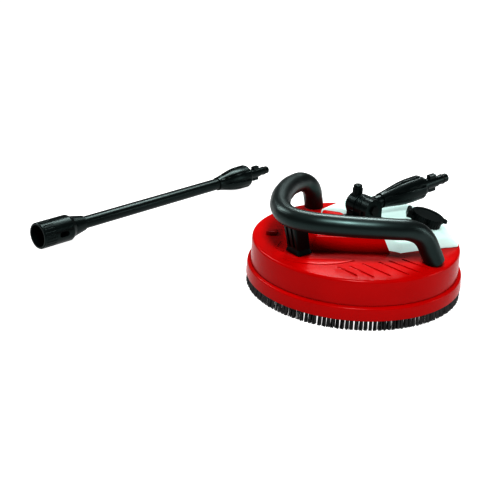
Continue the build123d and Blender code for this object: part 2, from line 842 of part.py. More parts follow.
# ---- pivot bolt and cap nut: a hollow bolt through both ears, which the water passes ----
bolt_head_radius = 7.0
bolt_head_height = 2.4
with BuildPart() as pivot_bolt:
    with BuildSketch(ear_face(left_ear_outer)):
        Circle(bolt_head_radius)
    extrude(amount=-bolt_head_height)
    with BuildSketch(ear_face(left_ear_outer)):
        Circle(bolt_radius)
    extrude(amount=right_ear_outer - left_ear_outer + 3)
    with BuildSketch(ear_face(right_ear_outer)):
        Circle(feed_bore)
    extrude(amount=left_ear_inner - right_ear_outer, mode=Mode.SUBTRACT)
save(pivot_bolt, "pivot_bolt")

with BuildPart() as pivot_nut:
    with BuildSketch(ear_face(right_ear_outer)):
        RegularPolygon(6.6, 6)
        Circle(bolt_radius, mode=Mode.SUBTRACT)
    extrude(amount=3)
save(pivot_nut, "pivot_nut")

# ---- arm: knuckle and neck in one moulding, with a water bore ----
knuckle_left = left_ear_inner + clearance
knuckle_right = right_ear_inner - clearance
neck_radius_near = 5.8
neck_blend = 4.0
neck_radius_far = 8.6
arm_dir_y = cos(radians(arm_tilt))
arm_dir_z = sin(radians(arm_tilt))
arm_centre_x = (knuckle_left + knuckle_right) / 2


def arm_plane(distance):
    """Plane square to the arm at a distance from the pivot."""
    return Plane(
        origin=(arm_centre_x, pivot_y + distance * arm_dir_y, pivot_z + distance * arm_dir_z),
        x_dir=(1, 0, 0),
        z_dir=(0, arm_dir_y, arm_dir_z),
    )


arm_core_end = arm_grip_start + arm_grip_length
with BuildPart() as arm_neck:
    with BuildSketch(ear_face(knuckle_left)):
        Circle(pivot_radius)
    extrude(amount=knuckle_right - knuckle_left)
    # Two ring grooves round the knuckle.
    for groove_offset in (3.2, 8.2):
        with BuildSketch(ear_face(knuckle_left + groove_offset)):
            Circle(pivot_radius + 1)
            Circle(pivot_radius - 1.2, mode=Mode.SUBTRACT)
        extrude(amount=1.8, mode=Mode.SUBTRACT)
    with BuildSketch(arm_plane(pivot_radius - neck_blend)):
        Circle(neck_radius_near)
    with BuildSketch(arm_plane(pivot_radius + neck_blend)):
        Circle(neck_radius_far)
    loft()
    with BuildSketch(arm_plane(pivot_radius + neck_blend)):
        Circle(neck_radius_far)
    extrude(amount=arm_core_end - pivot_radius - neck_blend)
    with BuildSketch(arm_plane(0)):
        Circle(nipple_bore_radius)
    extrude(amount=arm_core_end, mode=Mode.SUBTRACT)
    with BuildSketch(ear_face(knuckle_left - 1)):
        Circle(bolt_radius + running_fit)
    extrude(amount=knuckle_right - knuckle_left + 2, mode=Mode.SUBTRACT)
save(arm_neck, "arm_neck")

# ---- pivot seals: two rings that keep the water in the joint ----
with BuildPart() as pivot_washers:
    with BuildSketch(ear_face(left_ear_inner)):
        Circle(bolt_radius + 3)
        Circle(bolt_radius + running_fit, mode=Mode.SUBTRACT)
    extrude(amount=clearance - running_fit)
    with BuildSketch(ear_face(right_ear_inner)):
        Circle(bolt_radius + 3)
        Circle(bolt_radius + running_fit, mode=Mode.SUBTRACT)
    extrude(amount=running_fit - clearance)
save(pivot_washers, "pivot_washers")


def grip(plane_at, length, full_radius, bore, flutes):
    """Teardrop sleeve: slim at the near end, full at the far end, with flutes along it."""
    near = plane_at(0)
    section = Plane(origin=near.origin, x_dir=near.x_dir, z_dir=near.y_dir * -1)
    axis = Axis(near.origin, near.z_dir)
    with BuildPart() as sleeve:
        with BuildSketch(section):
            with BuildLine():
                Spline(
                    (bore + 1.2, 0),
                    (bore + (full_radius - bore) * 0.42, length * 0.22),
                    (full_radius * 0.93, length * 0.5),
                    (full_radius, length * 0.74),
                )
                Polyline(
                    (full_radius, length * 0.74),
                    (full_radius - 0.6, length - 2.6),
                    (full_radius - 3.0, length),
                    (bore, length),
                    (bore, 0),
                    (bore + 1.2, 0),
                )
            make_face()
        revolve(axis=axis)
        flute_plane = plane_at(length * 0.16)
        with BuildSketch(flute_plane):
            with PolarLocations(full_radius + 0.4, flutes, start_angle=180 / flutes):
                Circle(2.0)
        extrude(amount=length * 0.72, mode=Mode.SUBTRACT)
    return sleeve.part


with BuildPart() as arm_grip:
    add(grip(lambda d: arm_plane(arm_grip_start + d), arm_grip_length, arm_grip_radius,
             neck_radius_far + running_fit, 10))
save(arm_grip, "arm_grip")

# ---- grip collar, bayonet nipple and its ring: the same parts on the arm and on the lance ----
collar_length = 6.0
collar_outer = 12.4
lug_length = 11.0
lug_width = 7.0
ring_groove_back = 11.0
ring_section = 1.9
ring_room = 0.4
nose_tip_radius = 6.1
nose_tip_round = 2.2
ring_groove_start = nipple_body_length + nipple_nose_length - ring_groove_back
nose_tip_start = ring_groove_start + ring_section + ring_room


def collar_ring(plane):
    """Plain ring with a softened rim, between a grip and its nipple."""
    with BuildPart() as ring:
        with BuildSketch(plane):
            Circle(collar_outer)
        extrude(amount=collar_length)
        chamfer(ring.edges().filter_by(GeomType.CIRCLE), 0.9)
        with BuildSketch(plane):
            Circle(nipple_bore_radius + running_fit)
        extrude(amount=collar_length, mode=Mode.SUBTRACT)
    return ring.part


def nipple(plane):
    """Bayonet nipple: a body with two lugs, a slimmer nose and a groove for the ring."""
    with BuildPart() as body:
        with BuildSketch(plane):
            Circle(nipple_body_radius)
        extrude(amount=nipple_body_length)
        with BuildSketch(plane):
            Circle(nipple_nose_radius)
        extrude(amount=nose_tip_start)
        with BuildSketch(plane.offset(nose_tip_start)):
            Circle(nose_tip_radius)
        extrude(amount=nipple_body_length + nipple_nose_length - nose_tip_start)
        fillet(body.faces().sort_by(Axis(plane.origin, plane.z_dir))[-1].edges(), nose_tip_round)
        with BuildSketch(plane.offset(nipple_body_length - lug_length - 3)):
            Rectangle(lug_width, 2 * nipple_lug_radius)
            Circle(nipple_lug_radius, mode=Mode.INTERSECT)
        extrude(amount=lug_length)
        with BuildSketch(plane.offset(ring_groove_start)):
            Circle(nipple_nose_radius + 1)
            Circle(nipple_nose_radius - 1.2, mode=Mode.SUBTRACT)
        extrude(amount=ring_section + ring_room, mode=Mode.SUBTRACT)
        with BuildSketch(plane):
            Circle(nipple_bore_radius)
        extrude(amount=nipple_body_length + nipple_nose_length, mode=Mode.SUBTRACT)
    return body.part


def nose_ring(plane):
    """Rubber ring seated in the nipple's groove, a little proud of the nose."""
    with BuildPart() as ring:
        with BuildSketch(plane.offset(ring_groove_start + ring_room / 2)):
            Circle(nipple_nose_radius + 0.45)
            Circle(nipple_nose_radius - 1.2, mode=Mode.SUBTRACT)
        extrude(amount=ring_section)
        fillet(ring.edges().sort_by(Edge.length)[-2:], 0.5)
    return ring.part


with BuildPart() as grip_collar:
    add(collar_ring(arm_plane(arm_core_end)))
save(grip_collar, "grip_collar")
with BuildPart() as arm_nipple:
    add(nipple(arm_plane(arm_core_end + collar_length)))
save(arm_nipple, "arm_nipple")
with BuildPart() as arm_o_ring:
    add(nose_ring(arm_plane(arm_core_end + collar_length)))
save(arm_o_ring, "arm_o_ring")

# ---- lock button and its spring: a domed button that slides down into the left ear ----
button_travel = 3.0
button_bottom = button_boss_top + button_travel + 0.4
button_top = 134.0
with BuildPart() as lock_button:
    with BuildSketch(Plane.XY.offset(button_bottom)):
        with Locations((button_x, pivot_y)):
            Circle(button_radius)
    extrude(amount=button_top - button_bottom)
    fillet(lock_button.faces().sort_by(Axis.Z)[-1].edges(), 2.6)
    with BuildSketch(Plane.XY.offset(button_bottom)):
        with Locations((button_x, pivot_y)):
            Circle(button_stem)
    extrude(amount=button_boss_top - button_well + 0.5 - button_bottom)
save(lock_button, "lock_button")

with BuildPart() as button_spring:
    with BuildSketch(Plane.XY.offset(button_boss_top)):
        with Locations((button_x, pivot_y)):
            Circle(button_stem + 1.5)
            Circle(button_stem + 0.3, mode=Mode.SUBTRACT)
    extrude(amount=button_bottom - button_boss_top)
save(button_spring, "button_spring")

# ---- rotary union: hangs through the deck and carries the rotor's bearings ----
union_flange = 22.0
union_flange_height = 3.4
union_bottom = 44.0
union_screw_circle = 18.5
union_screw_angles = (150, 210, 270, 330)
union_screw_places = [
    (union_screw_circle * cos(radians(a)), union_screw_circle * sin(radians(a))) for a in union_screw_angles
]
union_top_block = 7.5
union_block_height = 7.0
barb_radius = 2.0
barb_x = -4.0
barb_end_y = 13.0
suction_z = deck_height + union_flange_height + 4.0
bearing_top_z = deck_height - hood_wall - 1.0
bearing_low_z = union_bottom + 3.0
clip_height = 1.2
with BuildPart() as union_body:
    with BuildSketch(Plane.XY.offset(union_bottom)):
        Circle(union_radius)
    extrude(amount=deck_height - union_bottom)
    with BuildSketch(Plane.XY.offset(deck_height)):
        Circle(union_flange)
    extrude(amount=union_flange_height)
    with BuildSketch(Plane.XY.offset(deck_height + union_flange_height)):
        Circle(union_top_block)
    extrude(amount=union_block_height)
    with BuildSketch(Plane.XY.offset(deck_height + union_flange_height)):
        with Locations((feed_x, feed_y)):
            Circle(feed_pipe_radius)
    extrude(amount=5)
    with BuildSketch(Plane(origin=(barb_x, 0, suction_z), x_dir=(1, 0, 0), z_dir=(0, 1, 0))):
        Circle(barb_radius)
    extrude(amount=barb_end_y)
    # Bearing bore, head room above it, the feed way and the screw holes.
    with BuildSketch(Plane.XY.offset(union_bottom)):
        Circle(bearing_radius)
    extrude(amount=bearing_top_z - union_bottom, mode=Mode.SUBTRACT)
    with BuildSketch(Plane.XY.offset(bearing_top_z)):
        Circle(6.5)
    extrude(amount=5, mode=Mode.SUBTRACT)
    with BuildSketch(Plane.XY.offset(bearing_low_z - clip_height)):
        Circle(bearing_radius + 1)
    extrude(amount=clip_height, mode=Mode.SUBTRACT)
    with BuildSketch(Plane.XY.offset(deck_height)):
        with Locations((feed_x, feed_y)):
            Circle(feed_bore)
    extrude(amount=12, mode=Mode.SUBTRACT)
    with BuildSketch(Plane.XY.offset(deck_height)):
        with Locations(*union_screw_places):
            Circle(base_screw_radius)
    extrude(amount=union_flange_height, mode=Mode.SUBTRACT)
save(union_body, "union_body")

with BuildPart() as union_screws:
    with BuildSketch(Plane.XY.offset(deck_height + union_flange_height)):
        with Locations(*union_screw_places):
            Circle(base_screw_head)
    extrude(amount=1.8)
    with BuildSketch(Plane.XY.offset(deck_height + union_flange_height)):
        with Locations(*union_screw_places):
            Circle(base_screw_radius - running_fit)
    extrude(amount=-union_flange_height + 0.2)
save(union_screws, "union_screws")


def ring_between(outer, inner, bottom, height, name):
    """Plain ring on the rotor's axis."""
    with BuildPart() as ring:
        with BuildSketch(Plane.XY.offset(bottom)):
            Circle(outer)
            Circle(inner, mode=Mode.SUBTRACT)
        extrude(amount=height)
    save(ring, name)


bearing_outer = bearing_radius - running_fit / 2
bearing_bore = shaft_radius + running_fit
upper_bearing_z = bearing_top_z - bearing_height
ring_between(bearing_outer, bearing_bore, upper_bearing_z, bearing_height, "bearing_upper")
ring_between(bearing_outer, bearing_bore, bearing_low_z, bearing_height, "bearing_lower")
seal_bottom = bearing_low_z + bearing_height
ring_between(bearing_outer, bearing_bore, seal_bottom, upper_bearing_z - seal_bottom, "shaft_seal")
ring_between(bearing_radius + 0.9, bearing_radius - 2.2, bearing_low_z - clip_height, clip_height, "circlip")

# ---- rotor shaft, hub, spray tubes and nozzles ----
hub_top = union_bottom - 1.2
hub_bottom = 27.0
hub_radius = 15.0
nut_height = 5.5
shaft_head = 5.4
shaft_bottom = hub_bottom - nut_height - 1.5
with BuildPart() as rotor_shaft:
    with BuildSketch(Plane.XY.offset(shaft_bottom)):
        Circle(shaft_radius)
    extrude(amount=bearing_top_z + 0.2 - shaft_bottom)
    with BuildSketch(Plane.XY.offset(bearing_top_z + 0.2)):
        Circle(shaft_head)
    extrude(amount=2.2)
    with BuildSketch(Plane.XY.offset(bearing_top_z + 3)):
        Circle(1.8)
    extrude(amount=spray_height - bearing_top_z - 3, mode=Mode.SUBTRACT)
save(rotor_shaft, "rotor_shaft")

with BuildPart() as rotor_hub:
    with BuildSketch(Plane.XY.offset(hub_bottom)):
        Circle(hub_radius)
    extrude(amount=hub_top - hub_bottom)
    chamfer(rotor_hub.edges().filter_by(GeomType.CIRCLE), 1)
    with BuildSketch(Plane(origin=(-hub_radius - 1, 0, spray_height), z_dir=(1, 0, 0))):
        Circle(spray_tube_radius + running_fit / 2)
    extrude(amount=2 * hub_radius + 2, mode=Mode.SUBTRACT)
    with BuildSketch(Plane.XY.offset(hub_bottom)):
        Circle(shaft_radius + running_fit / 2)
    extrude(amount=hub_top - hub_bottom, mode=Mode.SUBTRACT)
save(rotor_hub, "rotor_hub")

with BuildPart() as hub_nut:
    with BuildSketch(Plane.XY.offset(hub_bottom)):
        RegularPolygon(7.5, 6)
        Circle(shaft_radius + running_fit / 2, mode=Mode.SUBTRACT)
    extrude(amount=-nut_height)
save(hub_nut, "hub_nut")

tube_root = 6.0
tube_wall = 1.5
tube_end = spray_reach - 5.0
holder_radius = 7.0
holder_height = 15.0
with BuildPart() as spray_tubes:
    for side in (-1, 1):
        with BuildSketch(Plane(origin=(side * tube_root, 0, spray_height), z_dir=(side, 0, 0))):
            Circle(spray_tube_radius)
            Circle(spray_tube_radius - tube_wall, mode=Mode.SUBTRACT)
        extrude(amount=tube_end - tube_root)
save(spray_tubes, "spray_tubes")


def nozzle_plane(side, lift):
    """Plane square to a nozzle's slanted axis; the two lean opposite ways so the bar spins."""
    lean_y = side * sin(radians(nozzle_tilt))
    lean_z = -cos(radians(nozzle_tilt))
    origin = (side * spray_reach, lean_y * lift, spray_height + lean_z * lift)
    return Plane(origin=origin, x_dir=(1, 0, 0), z_dir=(0, lean_y, lean_z))


nozzle_radius = 4.2
nozzle_length = 8.0
nozzle_seat = 4.0
with BuildPart() as nozzle_holders:
    for side in (-1, 1):
        with BuildSketch(nozzle_plane(side, -holder_height / 2)):
            Circle(holder_radius)
        extrude(amount=holder_height)
        with BuildSketch(Plane(origin=(0, 0, spray_height), z_dir=(side, 0, 0))):
            Circle(spray_tube_radius)
        extrude(amount=tube_end, mode=Mode.SUBTRACT)
        with BuildSketch(nozzle_plane(side, holder_height / 2 - nozzle_seat)):
            Circle(nozzle_radius)
        extrude(amount=nozzle_seat, mode=Mode.SUBTRACT)
save(nozzle_holders, "nozzle_holders")

with BuildPart() as nozzles:
    for side in (-1, 1):
        with BuildSketch(nozzle_plane(side, holder_height / 2 - nozzle_seat)):
            Circle(nozzle_radius - running_fit / 2)
        extrude(amount=nozzle_length)
        with BuildSketch(nozzle_plane(side, holder_height / 2 - nozzle_seat)):
            Circle(0.9)
        extrude(amount=nozzle_length, mode=Mode.SUBTRACT)
save(nozzles, "nozzles")

# ---- hoses under the cover, with their clips ----
hose_outer = 6.4
feed_hose_bottom = deck_height + union_flange_height
feed_hose_top = cover_top - cover_wall - 0.4
with BuildPart() as feed_hose:
    with BuildSketch(Plane.XY.offset(feed_hose_bottom)):
        with Locations((feed_x, feed_y)):
            Circle(hose_outer)
            Circle(feed_pipe_radius + running_fit, mode=Mode.SUBTRACT)
    extrude(amount=feed_hose_top - feed_hose_bottom)
save(feed_hose, "feed_hose")

clip_band = 1.0
with BuildPart() as hose_clips:
    for clip_z in (feed_hose_bottom + 1.2, feed_hose_top - 4.4):
        with BuildSketch(Plane.XY.offset(clip_z)):
            with Locations((feed_x, feed_y)):
                Circle(hose_outer + clip_band)
                Circle(hose_outer + running_fit / 2, mode=Mode.SUBTRACT)
        extrude(amount=3)
save(hose_clips, "hose_clips")

suction_outer = 3.2
suction_route = [(-21.0, outlet_y, suction_z), (barb_x, outlet_y, suction_z), (barb_x, 9.0, suction_z)]
with BuildPart() as suction_hose:
    with BuildLine() as suction_path:
        FilletPolyline(*suction_route, radius=8.5)
    with BuildSketch(Plane(origin=suction_path.line @ 0, z_dir=suction_path.line % 0)):
        Circle(suction_outer)
        Circle(barb_radius + running_fit, mode=Mode.SUBTRACT)
    sweep()
save(suction_hose, "suction_hose")

with BuildPart() as tank_outlet:
    with BuildSketch(Plane(origin=(-notch_half, outlet_y, outlet_z), z_dir=(1, 0, 0))):
        Circle(outlet_flange)
    extrude(amount=1.4)
    with BuildSketch(Plane(origin=(-notch_half - tank_wall, outlet_y, outlet_z), z_dir=(1, 0, 0))):
        Circle(outlet_radius - running_fit)
    extrude(amount=tank_wall)
    with BuildSketch(Plane(origin=(-notch_half + 1.4, outlet_y, outlet_z), z_dir=(1, 0, 0))):
        Circle(barb_radius)
    extrude(amount=9)
    with BuildSketch(Plane(origin=(-notch_half - tank_wall, outlet_y, outlet_z), z_dir=(1, 0, 0))):
        Circle(1.0)
    extrude(amount=20, mode=Mode.SUBTRACT)
save(tank_outlet, "tank_outlet")

# ---- extension lance: socket, tube, grip, collar, nipple and rings, lying on the floor ----
heading = radians(lance_heading)
lance_dir = (cos(heading), sin(heading), 0)
lance_side = (sin(heading), -cos(heading), 0)


def lance_plane(distance):
    """Plane square to the lance at a distance from the socket's mouth."""
    origin = (
        lance_mouth_x + distance * lance_dir[0],
        lance_mouth_y + distance * lance_dir[1],
        socket_radius,
    )
    return Plane(origin=origin, x_dir=lance_side, z_dir=lance_dir)


lance_section = Plane(
    origin=lance_plane(0).origin,
    x_dir=(0, 0, 1),
    z_dir=(-lance_dir[1], lance_dir[0], 0),
)
lance_axis = Axis(lance_plane(0).origin, lance_dir)
lance_bore = lance_tube_radius - lance_tube_wall
taper_start = 50.0
taper_end = 78.0
tube_seat = 56.0
seal_seat = socket_depth - 4.0
seal_seat_radius = socket_bore - 1.0
lance_grip_end = lance_grip_start + lance_grip_length

with BuildPart() as lance_socket:
    with BuildSketch(lance_section):
        with BuildLine():
            Polyline(
                (socket_bore, 0),
                (socket_radius - 0.8, 0),
                (socket_radius, 1.2),
                (socket_radius, taper_start),
                (socket_radius - 3.6, taper_start + 7),
                (lance_tube_radius + 2.0, taper_end),
                (lance_tube_radius + running_fit, taper_end),
                (lance_tube_radius + running_fit, tube_seat),
                (nipple_nose_radius + 0.6, tube_seat),
                (nipple_nose_radius + 0.6, socket_depth),
                (seal_seat_radius, socket_depth),
                (seal_seat_radius, seal_seat),
                (socket_bore, seal_seat),
                close=True,
            )
        make_face()
    revolve(axis=lance_axis)
    # Two bayonet windows in the wall, and rows of grip grooves round the mouth.
    for window_side in (-1, 1):
        window_plane = Plane(
            origin=lance_plane(33).origin,
            x_dir=lance_dir,
            z_dir=lance_side if window_side > 0 else (-lance_side[0], -lance_side[1], 0),
        )
        with BuildSketch(window_plane):
            SlotOverall(16, 8)
        extrude(amount=socket_radius + 1, mode=Mode.SUBTRACT)
    with BuildSketch(lance_plane(3)):
        with PolarLocations(socket_radius + 0.6, 24):
            Circle(1.3)
    extrude(amount=17, mode=Mode.SUBTRACT)
save(lance_socket, "lance_socket")

with BuildPart() as socket_seal:
    with BuildSketch(lance_plane(socket_depth - 3)):
        Circle(seal_seat_radius - running_fit)
        Circle(nipple_nose_radius + 3, mode=Mode.SUBTRACT)
    extrude(amount=3)
save(socket_seal, "socket_seal")

with BuildPart() as lance_tube:
    with BuildSketch(lance_plane(tube_seat)):
        Circle(lance_tube_radius)
        Circle(lance_bore, mode=Mode.SUBTRACT)
    extrude(amount=lance_grip_end - tube_seat)
save(lance_tube, "lance_tube")

with BuildPart() as lance_grip:
    add(grip(lambda d: lance_plane(lance_grip_start + d), lance_grip_length, lance_grip_radius,
             lance_tube_radius + running_fit, 12))
save(lance_grip, "lance_grip")
with BuildPart() as lance_collar:
    add(collar_ring(lance_plane(lance_grip_end)))
save(lance_collar, "lance_collar")
with BuildPart() as lance_nipple:
    add(nipple(lance_plane(lance_grip_end + collar_length)))
save(lance_nipple, "lance_nipple")
with BuildPart() as lance_o_ring:
    add(nose_ring(lance_plane(lance_grip_end + collar_length)))
save(lance_o_ring, "lance_o_ring")
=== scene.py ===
import json
from math import atan2, cos, hypot, pi, radians, sin, tan
import random

import bmesh
import bpy
from mathutils import Matrix, Vector


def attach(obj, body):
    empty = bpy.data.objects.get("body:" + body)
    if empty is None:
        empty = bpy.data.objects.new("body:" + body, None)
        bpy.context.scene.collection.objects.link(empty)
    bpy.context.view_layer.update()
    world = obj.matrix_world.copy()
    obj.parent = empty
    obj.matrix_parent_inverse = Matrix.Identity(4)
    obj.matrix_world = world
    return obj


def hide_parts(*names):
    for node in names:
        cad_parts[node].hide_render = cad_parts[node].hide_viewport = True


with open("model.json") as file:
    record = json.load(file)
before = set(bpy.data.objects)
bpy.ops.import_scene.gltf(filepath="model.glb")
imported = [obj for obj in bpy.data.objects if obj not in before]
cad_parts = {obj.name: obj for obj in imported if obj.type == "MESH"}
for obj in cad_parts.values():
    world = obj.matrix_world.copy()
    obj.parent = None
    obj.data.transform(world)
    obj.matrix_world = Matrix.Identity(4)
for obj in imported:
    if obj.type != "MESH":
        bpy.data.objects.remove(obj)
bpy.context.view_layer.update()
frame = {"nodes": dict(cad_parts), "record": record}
MM = 0.001


# ---- Camera ----
# A long lens looks down on the cleaner from its front right, about 1.4 metres away.
# It is rolled slightly, so the floor's far edge would run downhill to the right.
camera_data = bpy.data.cameras.new("camera")
camera_data.lens = 74.8
camera_data.sensor_width = 36
camera = bpy.data.objects.new("camera", camera_data)
bpy.context.scene.collection.objects.link(camera)
look_from = Vector((0.9143, -0.8897, 0.5775))
look_ahead = Vector((-0.7258, 0.5670, -0.3896)).normalized()
level_right = look_ahead.cross(Vector((0, 0, 1))).normalized()
level_up = level_right.cross(look_ahead)
roll = radians(2.4)
tilted_right = cos(roll) * level_right + sin(roll) * level_up
tilted_up = cos(roll) * level_up - sin(roll) * level_right
turn = Matrix((tilted_right, tilted_up, -look_ahead)).transposed().to_4x4()
camera.matrix_world = Matrix.Translation(look_from) @ turn
bpy.context.scene.camera = camera


# ---- Studio ----
# A wide sheet of matt paper, with a glow of its own that keeps it white all over.
# A square lamp hangs high in front and a broad one high behind. A tall, weaker one stands on each
# side, lower down.
def matt_paper():
    paper = bpy.data.materials.new("studio_paper")
    paper.use_nodes = True
    nodes = paper.node_tree.nodes
    links = paper.node_tree.links
    shader = nodes["Principled BSDF"]
    shader.inputs["Roughness"].default_value = 0.9
    shader.inputs["Specular IOR Level"].default_value = 0.1
    shader.inputs["Emission Color"].default_value = (1, 1, 1, 1)
    shader.inputs["Emission Strength"].default_value = 0.94
    place = nodes.new("ShaderNodeTexCoord")
    cloud = nodes.new("ShaderNodeTexNoise")
    cloud.inputs["Scale"].default_value = 3.0
    tint = nodes.new("ShaderNodeValToRGB")
    tint.color_ramp.elements[0].color = (0.20, 0.20, 0.20, 1)
    tint.color_ramp.elements[1].color = (0.23, 0.23, 0.23, 1)
    links.new(place.outputs["Object"], cloud.inputs["Vector"])
    links.new(cloud.outputs["Fac"], tint.inputs["Fac"])
    links.new(tint.outputs["Color"], shader.inputs["Base Color"])
    return paper


floor_mesh = bpy.data.meshes.new("studio_floor")
floor_build = bmesh.new()
bmesh.ops.create_grid(floor_build, x_segments=1, y_segments=1, size=12)
floor_build.to_mesh(floor_mesh)
floor_build.free()
floor_mesh.materials.append(matt_paper())
floor = bpy.data.objects.new("studio_floor", floor_mesh)
bpy.context.scene.collection.objects.link(floor)


def soft_lamp(name, spot, aim, width, height, power):
    lamp_data = bpy.data.lights.new(name, "AREA")
    lamp_data.shape = "RECTANGLE"
    lamp_data.size = width
    lamp_data.size_y = height
    lamp_data.energy = power
    lamp = bpy.data.objects.new(name, lamp_data)
    lamp.location = spot
    lamp.rotation_euler = (Vector(aim) - Vector(spot)).to_track_quat("-Z", "Y").to_euler()
    bpy.context.scene.collection.objects.link(lamp)


soft_lamp("lamp_key", (0.62, -0.52, 1.35), (0, 0, 0.06), 0.3, 0.3, 31)
soft_lamp("lamp_back", (-0.66, 0.72, 1.25), (0, 0, 0.06), 0.8, 0.4, 27)
soft_lamp("lamp_left", (-1.2, -0.45, 0.9), (0, 0, 0.08), 0.4, 0.6, 11)
soft_lamp("lamp_right", (0.9, 1.05, 0.45), (0, 0, 0.06), 0.3, 0.6, 5)
sky = bpy.data.worlds.new("studio_sky")
sky.use_nodes = True
sky.node_tree.nodes["Background"].inputs["Color"].default_value = (1.0, 1.0, 1.0, 1)
sky.node_tree.nodes["Background"].inputs["Strength"].default_value = 0.1
bpy.context.scene.world = sky
bpy.context.scene.view_settings.view_transform = "Standard"
bpy.context.scene.view_settings.gamma = 0.72
bpy.context.scene.view_settings.exposure = 0.1


# ---- Hood ----
# One red polypropylene moulding: a drum on a wider skirt, with a shallow cone for its deck.
# The tool leaves a soft rim, a rounded ledge, and six slanted grooves on the right of the front.
drum_radius = 136.2
flange_radius = 142.5
skirt_bottom = 13.3
ledge_height = 29.6
rim_height = 64.3
deck_height = 68.6
deck_flat = 70.0
centre_bore = 15.8
skirt_ceiling = 25.0
hood_wall = 3.0


def deck_at(radius):
    """Height of the deck's upper face, in millimetres, at a distance from the centre."""
    fall = (deck_height - rim_height) / (drum_radius - deck_flat)
    return deck_height - fall * max(radius - deck_flat, 0)


def soften(outline, rounds, steps=6):
    """Rounds the corners of a closed outline: rounds gives the radius of each corner that isn't sharp."""
    count = len(outline)
    soft = []
    for i, corner in enumerate(outline):
        corner = Vector(corner)
        radius = rounds.get(i, 0)
        if radius == 0:
            soft.append(corner)
            continue
        back = (Vector(outline[i - 1]) - corner).normalized()
        ahead = (Vector(outline[(i + 1) % count]) - corner).normalized()
        half = back.angle(ahead) / 2
        reach = radius / tan(half)
        middle = corner + (back + ahead).normalized() * (radius / sin(half))
        start = corner + back * reach - middle
        end = corner + ahead * reach - middle
        sweep = start.angle(end)
        for k in range(steps + 1):
            share = k / steps
            blend = (sin((1 - share) * sweep) * start + sin(share * sweep) * end) / sin(sweep)
            soft.append(middle + blend)
    return [tuple(p) for p in soft]


def lathe(outline, steps):
    """Turns a closed outline of (radius, height) points, in millimetres, once round the upright axis."""
    shell = bmesh.new()
    ring = [shell.verts.new((r * MM, 0, z * MM)) for r, z in outline]
    edges = [shell.edges.new(pair) for pair in zip(ring, ring[1:] + ring[:1])]
    bmesh.ops.spin(shell, geom=ring + edges, cent=(0, 0, 0), axis=(0, 0, 1), angle=2 * pi,
                   steps=steps, use_merge=True)
    bmesh.ops.remove_doubles(shell, verts=shell.verts, dist=0.002 * MM)
    bmesh.ops.recalc_face_normals(shell, faces=shell.faces)
    return shell


def as_object(name, build, sharp=34):
    """Makes an object of a finished mesh, smooth except over its sharp edges."""
    mesh = bpy.data.meshes.new(name)
    build.to_mesh(mesh)
    build.free()
    mesh.polygons.foreach_set("use_smooth", [True] * len(mesh.polygons))
    mesh.set_sharp_from_angle(angle=radians(sharp))
    piece = bpy.data.objects.new(name, mesh)
    bpy.context.scene.collection.objects.link(piece)
    return piece


def settle(piece, finish, body, stands_for=()):
    """Gives a piece its finish and the body that it moves with."""
    piece.data.materials.clear()
    piece.data.materials.append(finish)
    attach(piece, body)
    if stands_for:
        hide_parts(*stands_for)


def moulded(name, colour, shade, gloss, grain_size, grain_depth, shine=0.2, sheen=(1, 1, 1), through=0.0):
    """Moulded plastic: faint cloudiness in its colour and gloss, and a fine grain in its skin.

    shine and sheen are the strength and tint of its reflections, and through is how much light goes in.
    """
    stuff = bpy.data.materials.new(name)
    stuff.use_nodes = True
    nodes = stuff.node_tree.nodes
    links = stuff.node_tree.links
    shader = nodes["Principled BSDF"]
    shader.inputs["Specular IOR Level"].default_value = shine
    shader.inputs["Specular Tint"].default_value = (*sheen, 1)
    shader.inputs["Subsurface Weight"].default_value = through
    shader.inputs["Subsurface Radius"].default_value = (0.012, 0.014, 0.013)
    shader.inputs["Subsurface Scale"].default_value = 1.0
    place = nodes.new("ShaderNodeTexCoord")
    cloud = nodes.new("ShaderNodeTexNoise")
    cloud.inputs["Scale"].default_value = 26.0
    cloud.inputs["Detail"].default_value = 4.0
    links.new(place.outputs["Object"], cloud.inputs["Vector"])
    tint = nodes.new("ShaderNodeValToRGB")
    tint.color_ramp.elements[0].position = 0.3
    tint.color_ramp.elements[0].color = (*shade, 1)
    tint.color_ramp.elements[1].position = 0.7
    tint.color_ramp.elements[1].color = (*colour, 1)
    links.new(cloud.outputs["Fac"], tint.inputs["Fac"])
    links.new(tint.outputs["Color"], shader.inputs["Base Color"])
    polish = nodes.new("ShaderNodeMapRange")
    polish.inputs["To Min"].default_value = gloss * 0.85
    polish.inputs["To Max"].default_value = gloss * 1.2
    links.new(cloud.outputs["Fac"], polish.inputs["Value"])
    links.new(polish.outputs["Result"], shader.inputs["Roughness"])
    grain = nodes.new("ShaderNodeTexNoise")
    grain.inputs["Scale"].default_value = 1.0 / grain_size
    grain.inputs["Detail"].default_value = 3.0
    links.new(place.outputs["Object"], grain.inputs["Vector"])
    skin = nodes.new("ShaderNodeBump")
    skin.inputs["Strength"].default_value = 1.0
    skin.inputs["Distance"].default_value = grain_depth
    links.new(grain.outputs["Fac"], skin.inputs["Height"])
    links.new(skin.outputs["Normal"], shader.inputs["Normal"])
    return stuff


red_gloss = moulded("red_gloss", (0.36, 0.0006, 0.0008), (0.33, 0.0005, 0.0006), 0.24, 0.003, 0.00002,
                    shine=0.08)

